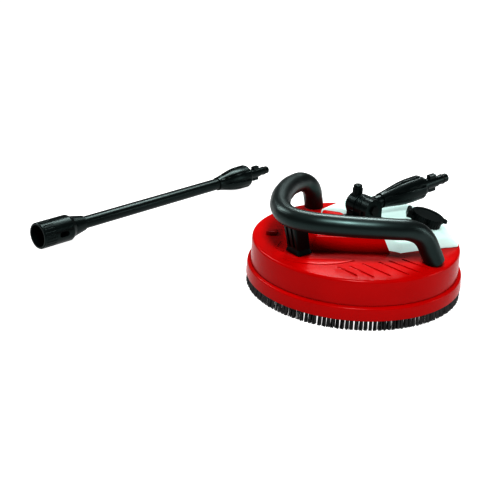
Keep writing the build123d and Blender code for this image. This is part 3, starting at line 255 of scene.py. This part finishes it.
hood_outline = soften(
    [
        (flange_radius - hood_wall, skirt_bottom),
        (flange_radius, skirt_bottom),
        (flange_radius - 1.2, ledge_height),
        (drum_radius + 0.4, ledge_height + 0.9),
        (drum_radius + 0.4, ledge_height + 2.2),
        (drum_radius + 0.9, ledge_height + 2.6),
        (drum_radius, rim_height),
        (deck_flat, deck_height),
        (centre_bore, deck_height),
        (centre_bore, deck_height - hood_wall),
        (deck_flat, deck_height - hood_wall),
        (drum_radius - hood_wall, rim_height - hood_wall),
        (drum_radius - hood_wall + 1, skirt_ceiling),
        (flange_radius - hood_wall, skirt_ceiling),
    ],
    {1: 0.8, 2: 2.4, 5: 0.3, 6: 3.8, 7: 20, 11: 2.0},
)
hood_shell = as_object("hood_shell", lathe(hood_outline, 256))


def carve(piece, cutter, how="DIFFERENCE"):
    """Cuts one mesh with another, for good, and throws the cutter away."""
    cut = piece.modifiers.new("cut", "BOOLEAN")
    cut.operation = how
    cut.solver = "EXACT"
    cut.object = cutter
    bpy.context.view_layer.objects.active = piece
    bpy.ops.object.modifier_apply(modifier="cut")
    bpy.data.objects.remove(cutter)


def groove_tool(spots, width, depth):
    """Slot-shaped cutters that follow the deck's slope, one for each (x, y, turn, length)."""
    bar_height = 6
    tool = bmesh.new()
    for x, y, turn_by, length in spots:
        bar = bmesh.new()
        bmesh.ops.create_cube(bar, size=1)
        bmesh.ops.scale(bar, vec=(length * MM, width * MM, bar_height * MM), verts=bar.verts)
        upright = [e for e in bar.edges if abs((e.verts[0].co - e.verts[1].co).z) > 1 * MM]
        bmesh.ops.bevel(bar, geom=upright, offset=width * 0.499 * MM, segments=5, affect="EDGES",
                        profile=0.5, material=-1)
        low = [e for e in bar.edges if all(v.co.z < 0 for v in e.verts)]
        bmesh.ops.bevel(bar, geom=low, offset=0.8 * MM, segments=3, affect="EDGES", profile=0.5,
                        material=-1)
        surface = deck_at(hypot(x, y)) + bar_height / 2 - depth
        slope = Matrix.Rotation(atan2(deck_height - rim_height, drum_radius - deck_flat), 4, "Y")
        place = Matrix.Translation((x * MM, y * MM, surface * MM)) @ slope
        bmesh.ops.transform(bar, matrix=place @ Matrix.Rotation(radians(turn_by), 4, "Z"), verts=bar.verts)
        loose = bpy.data.meshes.new("bar")
        bar.to_mesh(loose)
        bar.free()
        tool.from_mesh(loose)
        bpy.data.meshes.remove(loose)
    return tool


groove_spots = [
    (77, -84, 8, 31),
    (87, -70, 8, 39),
    (93, -51, 10, 43),
    (102, -30, 11, 45),
    (105, -15, 14, 44),
    (107, 3, 17, 38),
]
groove_width = 3.4
groove_depth = 1.3
carve(hood_shell, as_object("groove_tool", groove_tool(groove_spots, groove_width, groove_depth)))


def arc_through(start, middle, end, count):
    """Points along the arc through three points of the deck's plan."""
    (ax, ay), (bx, by), (cx, cy) = start, middle, end
    twist = 2 * (ax * (by - cy) + bx * (cy - ay) + cx * (ay - by))
    a2, b2, c2 = ax * ax + ay * ay, bx * bx + by * by, cx * cx + cy * cy
    mx = (a2 * (by - cy) + b2 * (cy - ay) + c2 * (ay - by)) / twist
    my = (a2 * (cx - bx) + b2 * (ax - cx) + c2 * (bx - ax)) / twist
    begin = atan2(ay - my, ax - mx)
    sweep = (atan2(cy - my, cx - mx) - begin + pi) % (2 * pi) - pi
    radius = hypot(ax - mx, ay - my)
    return [(mx + radius * cos(begin + sweep * k / count), my + radius * sin(begin + sweep * k / count))
            for k in range(count + 1)]


def raised_strip(near, far, height, shoulder):
    """A low ridge that follows the deck between two lines, with rounded shoulders."""
    profile = ((0, -1.2), (0, 0.35), (0.35, 0.8), (1, 1))
    strip = bmesh.new()
    rows = []
    for (ax, ay), (bx, by) in zip(near, far):
        width = hypot(bx - ax, by - ay)
        slim = min(shoulder, width / 2) / width if width > 0.01 else 0
        across = [(step * slim, rise) for step, rise in profile]
        across += [(1 - share, rise) for share, rise in reversed(across)]
        row = []
        for share, rise in across:
            x, y = ax + (bx - ax) * share, ay + (by - ay) * share
            row.append(strip.verts.new((x * MM, y * MM, (deck_at(hypot(x, y)) + rise * height) * MM)))
        rows.append(row)
    for one, two in zip(rows, rows[1:]):
        for k, ahead in zip(range(len(one)), [*range(1, len(one)), 0]):
            strip.faces.new((one[k], one[ahead], two[ahead], two[k]))
    strip.faces.new(rows[0])
    strip.faces.new(rows[-1])
    bmesh.ops.remove_doubles(strip, verts=strip.verts, dist=0.01 * MM)
    bmesh.ops.recalc_face_normals(strip, faces=strip.faces)
    return strip


def join_shell(piece, extra):
    """Adds a closed shell to a piece's mesh."""
    whole = bmesh.new()
    whole.from_mesh(piece.data)
    loose = bpy.data.meshes.new("loose")
    extra.to_mesh(loose)
    extra.free()
    for face in loose.polygons:
        face.use_smooth = True
    whole.from_mesh(loose)
    bpy.data.meshes.remove(loose)
    whole.to_mesh(piece.data)
    whole.free()


relief_height = 1.1
crescent_ends = (4, -126), (61, -58)
crescent_high = arc_through(crescent_ends[0], (27, -98), crescent_ends[1], 40)
crescent_low = arc_through(crescent_ends[0], (37, -108), crescent_ends[1], 40)
join_shell(hood_shell, raised_strip(crescent_high, crescent_low, relief_height, 1.4))
bent_rib_inner = [(-38.1, -95.4), (-27.4, -110.9), (-13, -110.9)]
bent_rib_outer = [(-39.9, -96.6), (-28.6, -113.1), (-13, -113.1)]
join_shell(hood_shell, raised_strip(bent_rib_inner, bent_rib_outer, relief_height, 0.8))


def latch_tab(spot, turn_by, size):
    """The small block beside the bent rib, half sunk in the deck, with its upper edges rounded."""
    tab = bmesh.new()
    bmesh.ops.create_cube(tab, size=1)
    bmesh.ops.scale(tab, vec=Vector(size) * MM, verts=tab.verts)
    upper = [e for e in tab.edges if any(v.co.z > 0 for v in e.verts)]
    bmesh.ops.bevel(tab, geom=upper, offset=1.3 * MM, segments=4, affect="EDGES", profile=0.5,
                    material=-1)
    place = Matrix.Translation((spot[0] * MM, spot[1] * MM, deck_at(hypot(*spot)) * MM))
    bmesh.ops.transform(tab, matrix=place @ Matrix.Rotation(radians(turn_by), 4, "Z"), verts=tab.verts)
    return tab


join_shell(hood_shell, latch_tab((-68, -87), -52, (11, 14, 9)))
hood_shell.data.set_sharp_from_angle(angle=radians(34))
settle(hood_shell, red_gloss, "base", ["hood"])


# ---- Bristles ----
# Stiff black nylon in tufts, packed edge to edge in two rows round the carrier's groove.
# The strands of a tuft are not quite of one length, and their tips splay outwards.
tufts_per_row = 152
row_radii = (136.6, 138.6)
strands_per_tuft = 16
bristle_top = 18.0
splay_limit = 142.0
dice = random.Random(7)
black_nylon = moulded("black_nylon", (0.004, 0.004, 0.004), (0.002, 0.002, 0.002), 0.24, 0.0006, 0.00002,
                      shine=0.6)


def tuft(seed):
    """One tuft at the origin, hanging down: a bunch of four-sided strands that spread at the tips."""
    chance = random.Random(seed)
    bunch = bmesh.new()
    for _ in range(strands_per_tuft):
        root = Vector((chance.uniform(-0.8, 0.8), chance.uniform(-1.7, 1.7), bristle_top))
        tip = Vector((root.x + chance.gauss(1.6, 0.5), root.y * 1.15 + chance.gauss(0, 0.35),
                      abs(chance.gauss(0, 0.9))))
        strand = bmesh.new()
        bmesh.ops.create_cone(strand, cap_ends=True, segments=4, radius1=0.36 * MM, radius2=0.3 * MM,
                              depth=1)
        lean = (root - tip) * MM
        shape = lean.to_track_quat("Z", "Y").to_matrix().to_4x4()
        middle = Matrix.Translation((root + tip) / 2 * MM)
        stretch = Matrix.Diagonal((1, 1, lean.length, 1))
        bmesh.ops.transform(strand, matrix=middle @ shape @ stretch, verts=strand.verts)
        loose = bpy.data.meshes.new("strand")
        strand.to_mesh(loose)
        strand.free()
        bunch.from_mesh(loose)
        bpy.data.meshes.remove(loose)
    mesh = bpy.data.meshes.new("tuft")
    bunch.to_mesh(mesh)
    bunch.free()
    return mesh


tuft_kinds = [tuft(seed) for seed in range(8)]
brush = bmesh.new()
for row_radius in row_radii:
    for k in range(tufts_per_row):
        first = len(brush.verts)
        brush.from_mesh(dice.choice(tuft_kinds))
        brush.verts.ensure_lookup_table()
        bearing = 2 * pi * (k + dice.uniform(-0.12, 0.12)) / tufts_per_row
        spot = Matrix.Rotation(bearing, 4, "Z") @ Matrix.Translation((row_radius * MM, 0, 0))
        bmesh.ops.transform(brush, matrix=spot, verts=brush.verts[first:])
for v in brush.verts:
    reach = hypot(v.co.x, v.co.y)
    v.co.z = max(v.co.z, 0)
    if reach > splay_limit * MM:
        v.co.xy *= splay_limit * MM / reach
bristles = as_object("bristles", brush)
settle(bristles, black_nylon, "base", ["bristle_ring"])
for mesh in tuft_kinds:
    bpy.data.meshes.remove(mesh)


# ---- Handle ----
# One black gas-assisted moulding: a fat tube that rises from a foot each side of the deck
# and bows forward to a rounded point over the pedestal. The finish is a fine satin grain.
handle_radius = 13.2
handle_foot = 66.9
half_route = [
    (116.5, 26.5, handle_foot),
    (113.2, 21.5, 80.0),
    (108.5, 11.0, 100.0),
    (104.8, -7.0, 112.0),
    (95.5, -31.0, 116.2),
    (74.0, -64.0, 118.2),
    (51.0, -89.0, 118.6),
    (26.5, -107.0, 118.0),
    (0.0, -114.8, 117.8),
]
black_satin = moulded("black_satin", (0.0015, 0.003, 0.003), (0.001, 0.002, 0.002), 0.37, 0.0012, 0.00002,
                      shine=0.5, sheen=(0.66, 1.0, 0.96))


def bow_tube(name, route, radius):
    """A round tube along a smooth line through the route's points, capped at both ends."""
    line = bpy.data.curves.new(name, "CURVE")
    line.dimensions = "3D"
    line.resolution_u = 14
    line.bevel_depth = radius * MM
    line.bevel_resolution = 14
    line.use_fill_caps = True
    spline = line.splines.new("BEZIER")
    spline.bezier_points.add(len(route) - 1)
    for point, place in zip(spline.bezier_points, route):
        point.co = Vector(place) * MM
        point.handle_left_type = "AUTO"
        point.handle_right_type = "AUTO"
    bent = bpy.data.objects.new(name + "_line", line)
    bpy.context.scene.collection.objects.link(bent)
    bpy.context.view_layer.update()
    mesh = bpy.data.meshes.new_from_object(bent.evaluated_get(bpy.context.evaluated_depsgraph_get()))
    bpy.data.objects.remove(bent)
    build = bmesh.new()
    build.from_mesh(mesh)
    bpy.data.meshes.remove(mesh)
    bmesh.ops.remove_doubles(build, verts=build.verts, dist=0.01 * MM)
    bmesh.ops.recalc_face_normals(build, faces=build.faces)
    return build


route = half_route + [(-x, y, z) for x, y, z in half_route[-2::-1]]
tube = bow_tube("handle_tube", route, handle_radius)
for v in tube.verts:
    v.co.z = max(v.co.z, handle_foot * MM)
handle = as_object("handle_bow", tube)
settle(handle, black_satin, "base", ["handle"])


# ---- Tank ----
# A blow-moulded bottle of milky polyethylene, screwed down on the rear of the deck. The mould rounds
# every edge, and the plastic lets light through, so its shaded faces stay pale. That light is painted:
# the tank gives off a glow of its own, though it is no lamp, and this lifts its shaded faces.
tank_white = moulded("tank_white", (0.24, 0.31, 0.29), (0.22, 0.29, 0.27), 0.32, 0.004, 0.00002, shine=0.15,
                     through=0.3)
tank_painted_glow_shader = tank_white.node_tree.nodes["Principled BSDF"]
# Painted light: this emission makes the whole tank glow and lightens its shaded faces, over a base colour
# kept dark to suit it.
tank_painted_glow_shader.inputs["Emission Color"].default_value = (0.44, 0.56, 0.54, 1)
tank_painted_glow_shader.inputs["Emission Strength"].default_value = 1.0

tank_edge = 134.8
tank_edge_height = 64.9
shoulder_radius = 95
shoulder_height = 89.8
tank_top = 94.4
bulge = 5.5
dome_steps = 15
dome_outline = [(0, 69.0), (deck_flat, 69.0), (tank_edge, tank_edge_height)]
for k in range(1, dome_steps + 1):
    share = k / dome_steps
    lift = 4 * bulge * share * (1 - share)
    dome_outline.append((tank_edge + (shoulder_radius - tank_edge) * share + 0.53 * lift,
                         tank_edge_height + (shoulder_height - tank_edge_height) * share + 0.85 * lift))
dome_outline.append((0, tank_top))
tank_body = as_object("tank_body", lathe(dome_outline, 144))


def prism(name, plan, low, high):
    """An upright block over a plan outline."""
    block = bmesh.new()
    base = block.faces.new([block.verts.new((x * MM, y * MM, low * MM)) for x, y in plan])
    raised = bmesh.ops.extrude_face_region(block, geom=[base])["geom"]
    raised_verts = [v for v in raised if isinstance(v, bmesh.types.BMVert)]
    bmesh.ops.translate(block, vec=(0, 0, (high - low) * MM), verts=raised_verts)
    bmesh.ops.recalc_face_normals(block, faces=block.faces)
    return as_object(name, block)


right_plan = [(27.2, 34.2), (27.2, 8.2), (36, 8.2), (58, -6.8), (77.2, 5.2), (97, 95), (160, 114)]
tank_plan = [(-x, y) for x, y in reversed(right_plan[:-1])] + right_plan + [(0, 215), (-160, 114)]
carve(tank_body, prism("tank_plan", tank_plan, 55, 110), "INTERSECT")


flank_middle = (87, 50)
flank_splay = 12.5


def flank_cutter(side, edge_height, rise):
    """A slab whose sloping underside planes the tank's flank away, lower towards the outside."""
    slab_height = 40
    slab = bmesh.new()
    bmesh.ops.create_cube(slab, size=1)
    bmesh.ops.scale(slab, vec=(80 * MM, 260 * MM, slab_height * MM), verts=slab.verts)
    bmesh.ops.translate(slab, vec=(0, 0, slab_height / 2 * MM), verts=slab.verts)
    lean = Matrix.Rotation(side * radians(rise), 4, "Y")
    turn = Matrix.Rotation(side * radians(-flank_splay), 4, "Z")
    place = Matrix.Translation((side * flank_middle[0] * MM, flank_middle[1] * MM, edge_height * MM))
    bmesh.ops.transform(slab, matrix=place @ turn @ lean, verts=slab.verts)
    return as_object("flank_cutter", slab)


carve(tank_body, flank_cutter(-1, 79, 30))
carve(tank_body, flank_cutter(1, 83, 24))
well_radius = 14.2
well_axis = Vector((0.1772, 0.1887, 0.9659))
well = bmesh.new()
bmesh.ops.create_cone(well, cap_ends=True, segments=48, radius1=well_radius * MM, radius2=well_radius * MM,
                      depth=50 * MM)
well_lean = well_axis.to_track_quat("Z", "Y").to_matrix().to_4x4()
well_place = Matrix.Translation((60.2 * MM, 64.1 * MM, 95 * MM))
bmesh.ops.transform(well, matrix=well_place @ well_lean, verts=well.verts)
carve(tank_body, as_object("well", well))
even = tank_body.modifiers.new("even", "REMESH")
even.mode = "VOXEL"
even.voxel_size = 1.4 * MM
round_off = tank_body.modifiers.new("round_off", "SMOOTH")
round_off.factor = 0.5
round_off.iterations = 14
bpy.context.view_layer.objects.active = tank_body
bpy.ops.object.modifier_apply(modifier="even")
bpy.ops.object.modifier_apply(modifier="round_off")
tank_body.data.polygons.foreach_set("use_smooth", [True] * len(tank_body.data.polygons))
settle(tank_body, tank_white, "base", ["detergent_tank"])


# ---- Grips ----
# Two teardrop sleeves of black polypropylene, one on the arm and one on the lance. Broad smooth
# panels stand between narrow grooves that fade out towards each end of the moulding.
black_moulding = moulded("black_moulding", (0.0015, 0.004, 0.004), (0.001, 0.0025, 0.0025), 0.3, 0.0012,
                         0.00002, shine=0.2, sheen=(0.66, 1.0, 0.96))


def fluted_sleeve(length, full, bore, panels, depth):
    """A sleeve along +Z from the origin: its outline swells, and grooves run between its panels."""
    lip = 1.4
    sleeve = bmesh.new()
    around = 24 * panels
    stations = [0, 0.04, 0.08, 0.12] + [0.14 + 0.02 * k for k in range(41)] + [0.955, 0.975, 0.99, 1.0]
    rings = []
    for t in stations:
        swell = sin(min(t / 0.76, 1) * pi / 2) ** 1.35
        radius = bore + lip + (full - bore - lip) * swell
        if t > 0.95:
            radius = full - 2.8 * ((t - 0.95) / 0.05) ** 2
        fade = max(0, min((t - 0.06) / 0.2, 1, (0.97 - t) / 0.08))
        ring = []
        for k in range(around):
            bearing = 2 * pi * k / around
            near = cos(panels * bearing / 2 + 0.5 * (1 - t)) ** 2
            cut = depth * fade * max(0, (near - 0.86) / 0.14) ** 0.8
            here = (radius - cut) * MM
            ring.append(sleeve.verts.new((here * cos(bearing), here * sin(bearing), t * length * MM)))
        rings.append(ring)
    for t in (1.0, 0.0):
        rings.append([sleeve.verts.new((bore * MM * cos(2 * pi * k / around),
                                        bore * MM * sin(2 * pi * k / around), t * length * MM))
                      for k in range(around)])
    rings.append(rings[0])
    for one, two in zip(rings, rings[1:]):
        for k in range(around):
            sleeve.faces.new((one[k], one[(k + 1) % around], two[(k + 1) % around], two[k]))
    bmesh.ops.recalc_face_normals(sleeve, faces=sleeve.faces)
    return sleeve


def lay_along(build, foot, heading, offset):
    """Turns a piece built along +Z to lie along a heading, so that it starts a given way from the foot."""
    turn = Vector(heading).to_track_quat("Z", "Y").to_matrix().to_4x4()
    shift = Matrix.Translation(Vector(foot) * MM + Vector(heading).normalized() * offset * MM)
    bmesh.ops.transform(build, matrix=shift @ turn, verts=build.verts)


arm_foot = (1, 9, 107.5)
arm_rise = radians(4.8)
arm_heading = (0, cos(arm_rise), sin(arm_rise))
arm_sleeve_start = 29
arm_flutes = fluted_sleeve(length=74, full=16.6, bore=8.65, panels=7, depth=1.9)
lay_along(arm_flutes, arm_foot, arm_heading, arm_sleeve_start)
arm_sleeve = as_object("arm_sleeve", arm_flutes, 50)
settle(arm_sleeve, black_moulding, "arm", ["arm_grip"])
lance_foot = (-323, -300, 19)
lance_turn = radians(98.3)
lance_heading = (cos(lance_turn), sin(lance_turn), 0)
lance_sleeve_start = 346
lance_flutes = fluted_sleeve(length=66, full=18.4, bore=9.05, panels=8, depth=2.1)
lay_along(lance_flutes, lance_foot, lance_heading, lance_sleeve_start)
lance_sleeve = as_object("lance_sleeve", lance_flutes, 50)
settle(lance_sleeve, black_moulding, "lance", ["lance_grip"])


# ---- Knuckle rings ----
# Four rounded ridges round the arm's knuckle, where it turns between the two ears. They are moulded
# in one with the knuckle, of the same black plastic.
def knuckle_ring(build, x):
    """One ridge round the pivot's axis, at a place along it."""
    outline = [(14.2, -1.0), (14.9, -0.7), (15.3, 0), (14.9, 0.7), (14.2, 1.0)]
    first = len(build.verts)
    verts = [build.verts.new((r * MM, 0, z * MM)) for r, z in outline]
    edges = [build.edges.new(pair) for pair in zip(verts, verts[1:] + verts[:1])]
    bmesh.ops.spin(build, geom=verts + edges, cent=(0, 0, 0), axis=(0, 0, 1), angle=2 * pi, steps=48,
                   use_merge=True)
    build.verts.ensure_lookup_table()
    place = Matrix.Translation((x * MM, arm_foot[1] * MM, arm_foot[2] * MM))
    turn = place @ Matrix.Rotation(pi / 2, 4, "Y")
    bmesh.ops.transform(build, matrix=turn, verts=build.verts[first:])


rings = bmesh.new()
for x in (-4.2, -0.6, 3.0, 6.4):
    knuckle_ring(rings, x)
bmesh.ops.remove_doubles(rings, verts=rings.verts, dist=0.002 * MM)
bmesh.ops.recalc_face_normals(rings, faces=rings.faces)
knuckle_rings = as_object("knuckle_rings", rings, 60)
settle(knuckle_rings, black_moulding, "arm")


# ---- Pieces kept as they were made ----
# The rest are small mouldings and turned parts whose made shape is already right; each only
# gets the finish of what it is made of.
black_rubber = moulded("black_rubber", (0.012, 0.012, 0.012), (0.008, 0.008, 0.008), 0.7, 0.0008, 0.00004)
grey_moulding = moulded("grey_moulding", (0.25, 0.27, 0.27), (0.2, 0.22, 0.22), 0.45, 0.001, 0.00003)


def turned(name, colour, shade, gloss):
    """Metal with the fine scratches of turning or plating."""
    metal = moulded(name, colour, shade, gloss, 0.0005, 0.000008)
    metal.node_tree.nodes["Principled BSDF"].inputs["Metallic"].default_value = 1.0
    return metal


bright_steel = turned("bright_steel", (0.62, 0.62, 0.63), (0.5, 0.5, 0.51), 0.28)
turned_brass = turned("turned_brass", (0.75, 0.55, 0.25), (0.65, 0.46, 0.2), 0.3)
finish_of = {
    "red_shell": red_gloss,
    "white_tank": tank_white,
    "black_plastic": black_moulding,
    "black_bristle": black_nylon,
    "black_rubber": black_rubber,
    "steel": bright_steel,
    "brass": turned_brass,
    "grey_plastic": grey_moulding,
}
dark_steel = turned("dark_steel", (0.02, 0.02, 0.02), (0.014, 0.014, 0.014), 0.4)
blackened = ("pivot_bolt", "pivot_nut", "handle_screws", "lid_pin")
for row in frame["record"]["subparts"]:
    node = frame["nodes"][row["node"]]
    finish = dark_steel if row["node"] in blackened else finish_of[row["material_slot"]]
    node.data.materials.clear()
    node.data.materials.append(finish)
